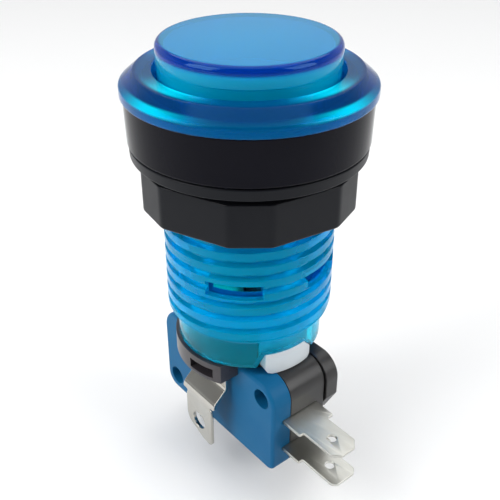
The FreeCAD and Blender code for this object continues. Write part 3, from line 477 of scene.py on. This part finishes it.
def turned_mesh(name, outline, radius_at=None, steps=ROUND_STEPS):
    """Turns a closed outline about Z. radius_at(angle, radius, height) may reshape each ring."""
    rows = []
    bm = bmesh.new()
    for step in range(steps):
        angle = TURN * step / steps
        row = []
        for radius, height in outline:
            reach = radius_at(angle, radius, height) if radius_at else radius
            place = (reach * math.cos(angle) * MM, reach * math.sin(angle) * MM, height * MM)
            row.append(bm.verts.new(place))
        rows.append(row)
    for row, beside in zip(rows, rows[1:] + rows[:1]):
        for index in range(len(outline)):
            above = (index + 1) % len(outline)
            bm.faces.new((row[index], row[above], beside[above], beside[index]))
    bmesh.ops.remove_doubles(bm, verts=bm.verts, dist=1e-7)
    bmesh.ops.recalc_face_normals(bm, faces=bm.faces)
    mesh = bpy.data.meshes.new(name)
    bm.to_mesh(mesh)
    bm.free()
    return mesh


def prism_mesh(name, corners, start, reach, direction):
    """A block whose (across, height) outline runs outward between two radii, in millimetres and degrees."""
    bm = bmesh.new()
    ends = []
    for out in (start, reach):
        ends.append([bm.verts.new((out * MM, across * MM, height * MM)) for across, height in corners])
    bm.faces.new(ends[0])
    bm.faces.new(reversed(ends[1]))
    for index in range(len(corners)):
        after = (index + 1) % len(corners)
        bm.faces.new((ends[0][index], ends[1][index], ends[1][after], ends[0][after]))
    turn = Matrix.Rotation(math.radians(direction), 3, "Z")
    bmesh.ops.rotate(bm, verts=bm.verts, cent=(0, 0, 0), matrix=turn)
    bmesh.ops.recalc_face_normals(bm, faces=bm.faces)
    mesh = bpy.data.meshes.new(name)
    bm.to_mesh(mesh)
    bm.free()
    return mesh


def window_mesh(name, direction):
    """A curved block for one window in the barrel's wall."""
    inner = GUIDE_R - CUTTER_MARGIN
    outer = CREST_R + CUTTER_MARGIN
    section = ((inner, WINDOW_LOW), (outer, WINDOW_LOW), (outer, WINDOW_HIGH), (inner, WINDOW_HIGH))
    steps = 16
    bm = bmesh.new()
    columns = []
    for step in range(steps + 1):
        angle = math.radians(direction + WINDOW_ANGLE * (step / steps - 0.5))
        column = []
        for radius, height in section:
            place = (radius * math.cos(angle) * MM, radius * math.sin(angle) * MM, height * MM)
            column.append(bm.verts.new(place))
        columns.append(column)
    for column, beside in zip(columns, columns[1:]):
        for index in range(4):
            after = (index + 1) % 4
            bm.faces.new((column[index], column[after], beside[after], beside[index]))
    bm.faces.new(columns[0])
    bm.faces.new(reversed(columns[-1]))
    bmesh.ops.recalc_face_normals(bm, faces=bm.faces)
    mesh = bpy.data.meshes.new(name)
    bm.to_mesh(mesh)
    bm.free()
    return mesh


def carved(item, cutters):
    """Cuts closed meshes out of a piece and removes the cutters."""
    helpers = []
    for mesh in cutters:
        helper = new_object(mesh.name, mesh)
        cut = item.modifiers.new("cut", "BOOLEAN")
        cut.operation = "DIFFERENCE"
        cut.solver = "EXACT"
        cut.object = helper
        helpers.append(helper)
    graph = bpy.context.evaluated_depsgraph_get()
    done = bpy.data.meshes.new_from_object(item.evaluated_get(graph))
    item.modifiers.clear()
    item.data = done
    for helper in helpers:
        bpy.data.objects.remove(helper)
    return item


def softened(node, width, angle=28):
    """The CAD node's own shape with its crisp edges rounded over, as moulding and stamping leave them."""
    bm = bmesh.new()
    bm.from_mesh(frame["nodes"][node].data)
    bmesh.ops.remove_doubles(bm, verts=bm.verts, dist=2e-6)
    bmesh.ops.dissolve_limit(bm, angle_limit=math.radians(0.8), verts=bm.verts, edges=bm.edges)
    limit = math.radians(angle)
    crisp = [edge for edge in bm.edges if len(edge.link_faces) == 2 and edge.calc_face_angle() > limit]
    bmesh.ops.bevel(bm, geom=crisp, offset=width * MM, segments=2, profile=0.5, affect="EDGES",
                    clamp_overlap=True)
    bmesh.ops.recalc_face_normals(bm, faces=bm.faces)
    mesh = bpy.data.meshes.new(f"{node}_finished")
    bm.to_mesh(mesh)
    bm.free()
    stand_for(new_object(f"{node}_finished", mesh), node)


def stamped_mesh(name, outline, holes, thickness, edge=0.07):
    """A flat plate in the XY plane, in millimetres: an outline with round holes, its edges rounded."""
    curve = bpy.data.curves.new(name, "CURVE")
    curve.dimensions = "2D"
    curve.fill_mode = "BOTH"
    curve.extrude = (thickness / 2 - edge) * MM
    curve.bevel_depth = edge * MM
    curve.bevel_resolution = 2
    curve.offset = -edge * MM
    loops = [outline]
    for across, along, radius in holes:
        ring = [TURN * step / HOLE_STEPS for step in range(HOLE_STEPS)]
        loops.append([(across + radius * math.cos(turn), along + radius * math.sin(turn)) for turn in ring])
    for loop in loops:
        spline = curve.splines.new("POLY")
        spline.points.add(len(loop) - 1)
        spline.use_cyclic_u = True
        for point, (across, along) in zip(spline.points, loop):
            point.co = (across * MM, along * MM, 0, 1)
    helper = new_object(f"{name}_curve", curve)
    graph = bpy.context.evaluated_depsgraph_get()
    mesh = bpy.data.meshes.new_from_object(helper.evaluated_get(graph))
    bpy.data.objects.remove(helper)
    bm = bmesh.new()
    bm.from_mesh(mesh)
    bmesh.ops.remove_doubles(bm, verts=bm.verts, dist=1e-6)
    bmesh.ops.recalc_face_normals(bm, faces=bm.faces)
    bm.to_mesh(mesh)
    bm.free()
    mesh.name = name
    return mesh


def eased(points, steps=6):
    """A closed flat outline in millimetres; a third number rounds that corner."""
    outline = []
    for index, point in enumerate(points):
        corner = Vector(point[:2])
        if len(point) < 3:
            outline.append(corner)
            continue
        back = (Vector(points[index - 1][:2]) - corner).normalized() * point[2]
        ahead = (Vector(points[(index + 1) % len(points)][:2]) - corner).normalized() * point[2]
        for step in range(steps + 1):
            share = step / steps
            outline.append(corner + back * (1 - share) ** 2 + ahead * share ** 2)
    return outline


def bent_mesh(mesh, path, steps=8):
    """Bends a flat plate whose Y runs along a path of (y, z, radius) corners, in millimetres."""
    runs = []
    start = Vector(path[0][:2])
    heading = (Vector(path[1][:2]) - start).normalized()
    for before, corner, after in zip(path, path[1:], path[2:]):
        point = Vector(corner[:2])
        inward = (point - Vector(before[:2])).normalized()
        outward = (Vector(after[:2]) - point).normalized()
        turn = inward.angle_signed(outward)
        reach = corner[2] * math.tan(abs(turn) / 2)
        end = point - inward * reach
        runs.append(("line", start, inward, (end - start).length, 0, 0))
        runs.append(("arc", end, inward, abs(turn) * corner[2], -math.copysign(1, turn), corner[2]))
        start = point + outward * reach
        heading = outward
    runs.append(("line", start, heading, (Vector(path[-1][:2]) - start).length + 1, 0, 0))
    bm = bmesh.new()
    bm.from_mesh(mesh)
    travelled = 0.0
    for kind, _, _, length, _, _ in runs:
        if kind == "arc":
            for step in range(steps + 1):
                place = (travelled + length * step / steps) * MM
                geometry = bm.verts[:] + bm.edges[:] + bm.faces[:]
                bmesh.ops.bisect_plane(bm, geom=geometry, plane_co=(0, place, 0), plane_no=(0, 1, 0),
                                       dist=1e-8)
        travelled += length
    for vertex in bm.verts:
        along = vertex.co.y / MM
        for kind, begin, inward, length, side, radius in runs:
            if along <= length or kind == "line" and length is runs[-1][3]:
                break
            along -= length
        if kind == "line":
            spot = begin + inward * along
            way = inward
        else:
            normal = Vector((-inward.y, inward.x)) * side
            angle = along / radius * side
            way = Matrix.Rotation(angle, 2) @ inward
            spot = begin + normal * radius - (Matrix.Rotation(angle, 2) @ normal) * radius
        across = Vector((-way.y, way.x)) * (vertex.co.z / MM)
        vertex.co = (vertex.co.x, (spot.x + across.x) * MM, (spot.y + across.y) * MM)
    bmesh.ops.recalc_face_normals(bm, faces=bm.faces)
    bm.to_mesh(mesh)
    bm.free()
    return mesh


# ---------------------------------------------------------------- turned pieces

def ridge_share(angle, height, middle, foot, crest):
    """0 in the groove and 1 on the ridge of a right-hand thread."""
    turns = (height - middle) / PITCH - angle / TURN
    away = abs(turns - round(turns)) * PITCH
    share = min(1.0, max(0.0, (foot - away) / (foot - crest)))
    return share * share * (3 - 2 * share)


def make_housing():
    rows = 230
    edge_room = 0.3          # bare height above the last land, for its rounded edge
    bare_top = 0.4
    fall = THREAD_LOW + edge_room - THREAD_HIGH
    thread = [(ROOT_R, THREAD_HIGH + fall * row / rows) for row in range(rows + 1)]
    outline = rounded([
        (HOLE_R, BEZEL_TOP, 0.25), (FLAT_R, BEZEL_TOP, 0.35), (BEZEL_R, BEVEL_FOOT, 0.45),
        (BEZEL_R, BEZEL_UNDER, 0.25), (BOSS_R, BEZEL_UNDER), (BOSS_R, BOSS_LOW, 0.2), (ROOT_R, BOSS_LOW)]
        + thread + [(CREST_R, THREAD_LOW, 0.25), (SKIRT_R, SHOULDER_FOOT, 0.3), (SKIRT_R, SKIRT_LOW, 0.15),
                    (CHAMBER_R, SKIRT_LOW, 0.15), (CHAMBER_R, CHAMBER_TOP), (GUIDE_R, CHAMBER_TOP, 0.15),
                    (GUIDE_R, GROOVE_LOW), (GROOVE_R, GROOVE_LOW), (GROOVE_R, GROOVE_TOP),
                    (GUIDE_R, GROOVE_TOP), (GUIDE_R, LEDGE, 0.2), (HOLE_R, LEDGE)])
    fade = 0.8

    def threaded(angle, radius, height):
        if abs(radius - ROOT_R) > 1e-6 or not THREAD_LOW < height <= THREAD_HIGH:
            return radius
        share = ridge_share(angle, height, RIDGE_START, RIDGE_FOOT, RIDGE_CREST)
        top_fade = min(1.0, max(0.0, (THREAD_HIGH - bare_top - height) / fade))
        foot_share = min(1.0, max(0.0, (THREAD_LOW + fade - height) / fade))
        share = max(share * top_fade, foot_share * foot_share * (3 - 2 * foot_share))
        return ROOT_R + (CREST_R - ROOT_R) * share

    item = new_object("housing_moulding", turned_mesh("housing_moulding", outline, threaded))
    cutters = [window_mesh(f"window_{index}", direction)
               for index, direction in enumerate(WINDOW_DIRECTIONS)]
    under = SKIRT_LOW - 0.5
    flare = (-0.25, 0.4)     # about what the notch's slanted sides spread by, down to there
    for side in range(2):
        cutters.append(prism_mesh(f"notch_{side}", [
            (-NOTCH_HALF, NOTCH_TOP), (NOTCH_FOOT[0] + flare[0], under), (NOTCH_FOOT[1] + flare[1], under),
            (NOTCH_HALF, NOTCH_TOP)], NOTCH_START_R, SKIRT_R + 1, NOTCH_DIRECTION + 180 * side))
    stand_for(carved(item, cutters), "housing", housing_blue)


def turned_piece(name, node, points):
    stand_for(new_object(name, turned_mesh(name, rounded(points))), node)


def make_collar():
    bore = 12.75
    recess = 14.4            # the housing's boss stands in it
    floor = 1.5
    low, high = (value.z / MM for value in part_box("collar"))
    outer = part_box("collar")[1].x / MM
    turned_piece("collar_ring", "collar", [
        (bore, low), (outer - 0.15, low, 0.35), (outer, high, 0.15), (recess, high), (recess, floor),
        (bore, floor)])


def make_washer():
    low, high = (value.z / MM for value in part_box("washer"))
    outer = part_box("washer")[1].x / MM
    turned_piece("washer_ring", "washer", [
        (NUT_BORE, low), (outer - 0.1, low, 0.25), (outer, high, 0.2), (NUT_BORE, high)])


def make_nut():
    """A nut with cut corners. Its top slopes down to 1.1 mm low at the rim, where the solid is flat."""
    low, high = (value.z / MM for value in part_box("nut"))
    sides = 12
    apothems = []
    for index in range(sides):
        middle = NUT_DIRECTION + 30 * index
        half = NUT_HALF_CUT if index % 2 == 0 else 30 - NUT_HALF_CUT
        apothems.append((math.radians(middle), NUT_VERTEX_R * math.cos(math.radians(half))))
    edge = 0.45
    lead_in = 0.25           # the chamfer at each end of the bore
    run_out = 0.6            # the height over which the ridge fades at each end
    blunting = 0.06
    rows = 70
    bore = [(NUT_BORE, low + lead_in + (high - low - 2 * lead_in) * row / rows) for row in range(rows + 1)]
    outline = rounded([(NUT_VERTEX_R, high, 0.2), (NUT_VERTEX_R, low, edge), (NUT_BORE + lead_in, low)])
    outline += bore
    outline.append(Vector((NUT_BORE + lead_in, high)))
    middle = low + 0.8
    barrel_turn = (middle - RIDGE_START) / PITCH + 0.5

    def shaped(angle, radius, height):
        if radius > NUT_BORE + 0.3:
            flat = min(apothem / max(0.2, math.cos(angle - normal)) for normal, apothem in apothems
                       if math.cos(angle - normal) > 0.2)
            return min(flat, NUT_VERTEX_R - blunting) - (NUT_VERTEX_R - radius)
        if radius > NUT_BORE + 1e-6:
            return radius
        share = ridge_share(angle, height, middle - barrel_turn * PITCH + PITCH * round(barrel_turn),
                            NUT_RIDGE_FOOT, NUT_RIDGE_CREST)
        ends = min(1.0, (height - low - lead_in) / run_out, (high - lead_in - height) / run_out)
        return NUT_BORE - (NUT_BORE - NUT_RIDGE_R) * share * max(0.0, ends)

    mesh = turned_mesh("nut_threaded", outline, shaped, steps=360)
    stand_for(new_object("nut_threaded", mesh), "nut")


def make_cap():
    low, high = (value.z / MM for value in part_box("cap"))
    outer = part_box("cap")[1].x / MM
    plate = 1.7
    inner = 10.9
    rim, rim_foot = 2.7, 2.8     # below the top, where the side steps in
    side = outer - 0.12
    turned_piece("cap_shell", "cap", [
        (0, high), (outer, high, 0.85), (outer, high - rim, 0.05), (side, high - rim_foot, 0.05),
        (side, low, 0.2), (inner, low, 0.2), (inner, high - plate, 0.3), (0, high - plate)])


def make_diffuser():
    low, high = (value.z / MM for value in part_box("diffuser"))
    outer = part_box("diffuser")[1].x / MM
    top = high - 0.02
    turned_piece("diffuser_disc", "diffuser", [(0, top), (outer, top, 0.35), (outer, low, 0.2), (0, low)])


# ---------------------------------------------------------------- stamped pieces

TAB_WIDTH = 4.75
TAB_SHOULDER = 3.6
TAB_HOLE_R = 0.725
TAB_HOLE_REACH = 6.95
CASE_END = 13.7
TAB_MIDDLE = 3.2         # from the root's front edge to the middle of the blade
RIVET_R = 1.3
RIVET_HEIGHT = 1.0
RIVET_EDGE = 0.15
CONTACT_X = 8.2


def make_end_tab(node, tip_cut, tip_round, contact_below):
    """A flat tab: wide root, narrower blade with a hole and eased tip, and its fixed contact."""
    low, high = (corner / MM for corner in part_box(node))
    thickness = 0.5
    middle = low.y + TAB_MIDDLE
    half = TAB_WIDTH / 2
    shoulder = CASE_END + TAB_SHOULDER
    outline = eased([
        (low.x, low.y), (shoulder, low.y, 0.25), (shoulder, middle - half, 0.3),
        (high.x - tip_cut, middle - half, tip_round), (high.x, middle - half + tip_cut, tip_round),
        (high.x, middle + half - tip_cut, tip_round), (high.x - tip_cut, middle + half, tip_round),
        (shoulder, middle + half, 0.3), (shoulder, high.y, 0.25), (low.x, high.y)])
    hole = (CASE_END + TAB_HOLE_REACH, middle, TAB_HOLE_R)
    mesh = stamped_mesh(f"{node}_stamping", outline, [hole], thickness)
    height = (high.z - thickness / 2) if contact_below else (low.z + thickness / 2)
    mesh.transform(Matrix.Translation((0, 0, height * MM)))
    bm = bmesh.new()
    bm.from_mesh(mesh)
    side = -1 if contact_below else 1
    rivet = (CONTACT_X * MM, (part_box("moving_contact")[0].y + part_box("moving_contact")[1].y) / 2,
             (height + side * (thickness / 2 + RIVET_HEIGHT / 2)) * MM)
    made = bmesh.ops.create_cone(bm, cap_ends=True, segments=32, radius1=RIVET_R * MM, radius2=RIVET_R * MM,
                                 depth=RIVET_HEIGHT * MM, matrix=Matrix.Translation(rivet))
    rims = {edge for vertex in made["verts"] for edge in vertex.link_edges if len(edge.link_faces) == 2
            and edge.calc_face_angle() > 1}
    bmesh.ops.bevel(bm, geom=list(rims), offset=RIVET_EDGE * MM, segments=2, profile=0.5, affect="EDGES")
    bm.to_mesh(mesh)
    bm.free()
    stand_for(new_object(f"{node}_stamping", mesh), node)


def make_lamp_contact(node, side):
    """The strip that climbs the tower, leaves under the apron and hangs as a narrower tab with a hole."""
    low, high = (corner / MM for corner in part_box(node))
    thickness = 0.6
    hanging = 10.1
    upright = 7.65
    tower = 4.1
    shelf = -31.25
    slant = (-41.15, -39.0)
    slant_bend = 1.25
    shelf_bend = 0.75
    path = [(-hanging, low.z, 0), (-hanging, slant[0], slant_bend), (-upright, slant[1], slant_bend),
            (-upright, shelf, shelf_bend), (-tower, shelf, shelf_bend), (-tower, high.z, 0)]
    bend_allowance = 2.4     # the strip ends 1.6 mm below the solid's top, inside the barrel
    length = sum((Vector(b[:2]) - Vector(a[:2])).length for a, b in zip(path, path[1:])) - bend_allowance
    left = -3.2
    right = 3.15
    cut = 4.6
    notch = 0.35
    shoulder = 7.7
    hole = (-0.05, 3.3, 1.5)
    outline = eased([
        (left + cut, 0, 1.0), (right, 0, 0.7), (right, shoulder - notch, 0.1), (right - notch, shoulder, 0.25),
        (right, shoulder + notch, 0.15), (high.x, shoulder + notch, 0.3), (high.x, length), (low.x, length),
        (low.x, shoulder + notch, 0.3), (left, shoulder + notch, 0.15), (left + notch, shoulder, 0.25),
        (left, shoulder - notch, 0.1), (left, 2.0, 1.4)])
    mesh = stamped_mesh(f"{node}_strip", outline, [hole], thickness, edge=0.09)
    bent_mesh(mesh, path)
    if side > 0:
        mesh.transform(Matrix.Scale(-1, 4, (0, 1, 0)))
        mesh.flip_normals()
    stand_for(new_object(f"{node}_strip", mesh), node)


# ---------------------------------------------------------------- studio

TARGET = Vector((0, 0, -18.5)) * MM
CAMERA_AZIMUTH = 50.59
CAMERA_ELEVATION = 31.88
CAMERA_DISTANCE = 113.65 * MM


def direction_from(azimuth, elevation):
    """The unit vector towards a viewer; azimuth 0 stands on the -Y side."""
    turn = math.radians(azimuth)
    rise = math.radians(elevation)
    return Vector((math.sin(turn) * math.cos(rise), -math.cos(turn) * math.cos(rise), math.sin(rise)))


def aim(item, target):
    item.rotation_euler = (target - item.location).to_track_quat("-Z", "Y").to_euler()


def make_camera():
    data = bpy.data.cameras.new("camera")
    data.sensor_width = 36
    data.lens = 55.14
    data.shift_x = 0.0014
    data.clip_start = 0.005
    item = bpy.data.objects.new("camera", data)
    bpy.context.scene.collection.objects.link(item)
    item.location = TARGET + direction_from(CAMERA_AZIMUTH, CAMERA_ELEVATION) * CAMERA_DISTANCE
    aim(item, TARGET)
    bpy.context.scene.camera = item


def softbox(name, azimuth, elevation, distance, width, height, power):
    """A rectangular light at an angle from the camera's own azimuth."""
    data = bpy.data.lights.new(name, "AREA")
    data.shape = "RECTANGLE"
    data.size = width
    data.size_y = height
    data.energy = power
    item = bpy.data.objects.new(name, data)
    bpy.context.scene.collection.objects.link(item)
    item.location = TARGET + direction_from(CAMERA_AZIMUTH + azimuth, elevation) * distance
    aim(item, TARGET)


def make_floor():
    bm = bmesh.new()
    bmesh.ops.create_grid(bm, x_segments=2, y_segments=2, size=1.5)
    mesh = bpy.data.meshes.new("floor")
    bm.to_mesh(mesh)
    bm.free()
    item = new_object("floor", mesh)
    gap = 0.0002
    item.location.z = cad_bounds[0][2] - gap
    material = finish("floor", (0.93, 0.93, 0.93), 0.6, bump=0.0, tint=(0.92, 0.92, 0.92),
                      tint_scale=3)
    item.data.materials.append(material)


def make_studio():
    """Bright low down behind the object, dimmer overhead and on the camera's side, and three soft boxes."""
    world = bpy.data.worlds.new("studio")
    world.use_nodes = True
    tree = world.node_tree
    backdrop = tree.nodes["Background"]
    backdrop.inputs["Color"].default_value = (0.96, 0.98, 1.0, 1)
    where = tree.nodes.new("ShaderNodeTexCoord")
    facing = tree.nodes.new("ShaderNodeVectorMath")
    facing.operation = "DOT_PRODUCT"
    facing.inputs[1].default_value = direction_from(CAMERA_AZIMUTH, 0)
    tree.links.new(where.outputs["Generated"], facing.inputs[0])
    fall = tree.nodes.new("ShaderNodeMapRange")
    set_inputs(fall, {"From Min": -0.25, "From Max": 0.3, "To Min": 0.66, "To Max": 0.10})
    tree.links.new(facing.outputs["Value"], fall.inputs["Value"])
    parts = tree.nodes.new("ShaderNodeSeparateXYZ")
    tree.links.new(where.outputs["Generated"], parts.inputs["Vector"])
    ceiling = tree.nodes.new("ShaderNodeMapRange")
    set_inputs(ceiling, {"From Min": 0.35, "From Max": 0.62, "To Min": 1.0, "To Max": 0.2})
    tree.links.new(parts.outputs["Z"], ceiling.inputs["Value"])
    strength = product(tree, fall.outputs["Result"], ceiling.outputs["Result"])
    tree.links.new(strength, backdrop.inputs["Strength"])
    bpy.context.scene.world = world
    softbox("left_softbox", azimuth=-62, elevation=34, distance=0.42, width=0.26, height=0.34, power=1.3)
    softbox("right_softbox", azimuth=68, elevation=30, distance=0.45, width=0.26, height=0.34, power=1.05)
    softbox("top_softbox", azimuth=180, elevation=72, distance=1.2, width=1.6, height=1.6, power=14.0)
    bpy.context.scene.view_settings.view_transform = "Standard"


# ---------------------------------------------------------------- assembly

def finish_frame():
    """Pieces that keep their CAD shape get edges rounded by these millimetres; wire pieces stay as packed."""
    edges = {
        "plunger": 0.12, "lamp_holder": 0.15, "latch_ring": 0.18, "led_base": 0.1, "led_lens": 0.05,
        "switch_cover": 0.2, "switch_case": 0.2, "switch_bracket": 0.2, "common_terminal": 0.07,
        "switch_pin": 0.12, "contact_blade": 0.03, "moving_contact": 0.1,
    }
    for node, width in edges.items():
        softened(node, width)
    for node in ("return_spring", "pin_spring", "led_leads"):
        item = frame["nodes"][node]
        item.data.materials.clear()
        item.data.materials.append(materials[slot_of[node]])


make_camera()
make_floor()
make_studio()
make_housing()
make_collar()
make_washer()
make_nut()
make_cap()
make_diffuser()
make_end_tab("nc_terminal", 1.1, 0.2, True)
make_end_tab("no_terminal", 0.7, 0.35, False)
make_lamp_contact("lamp_contact_front", -1)
make_lamp_contact("lamp_contact_rear", 1)
finish_frame()
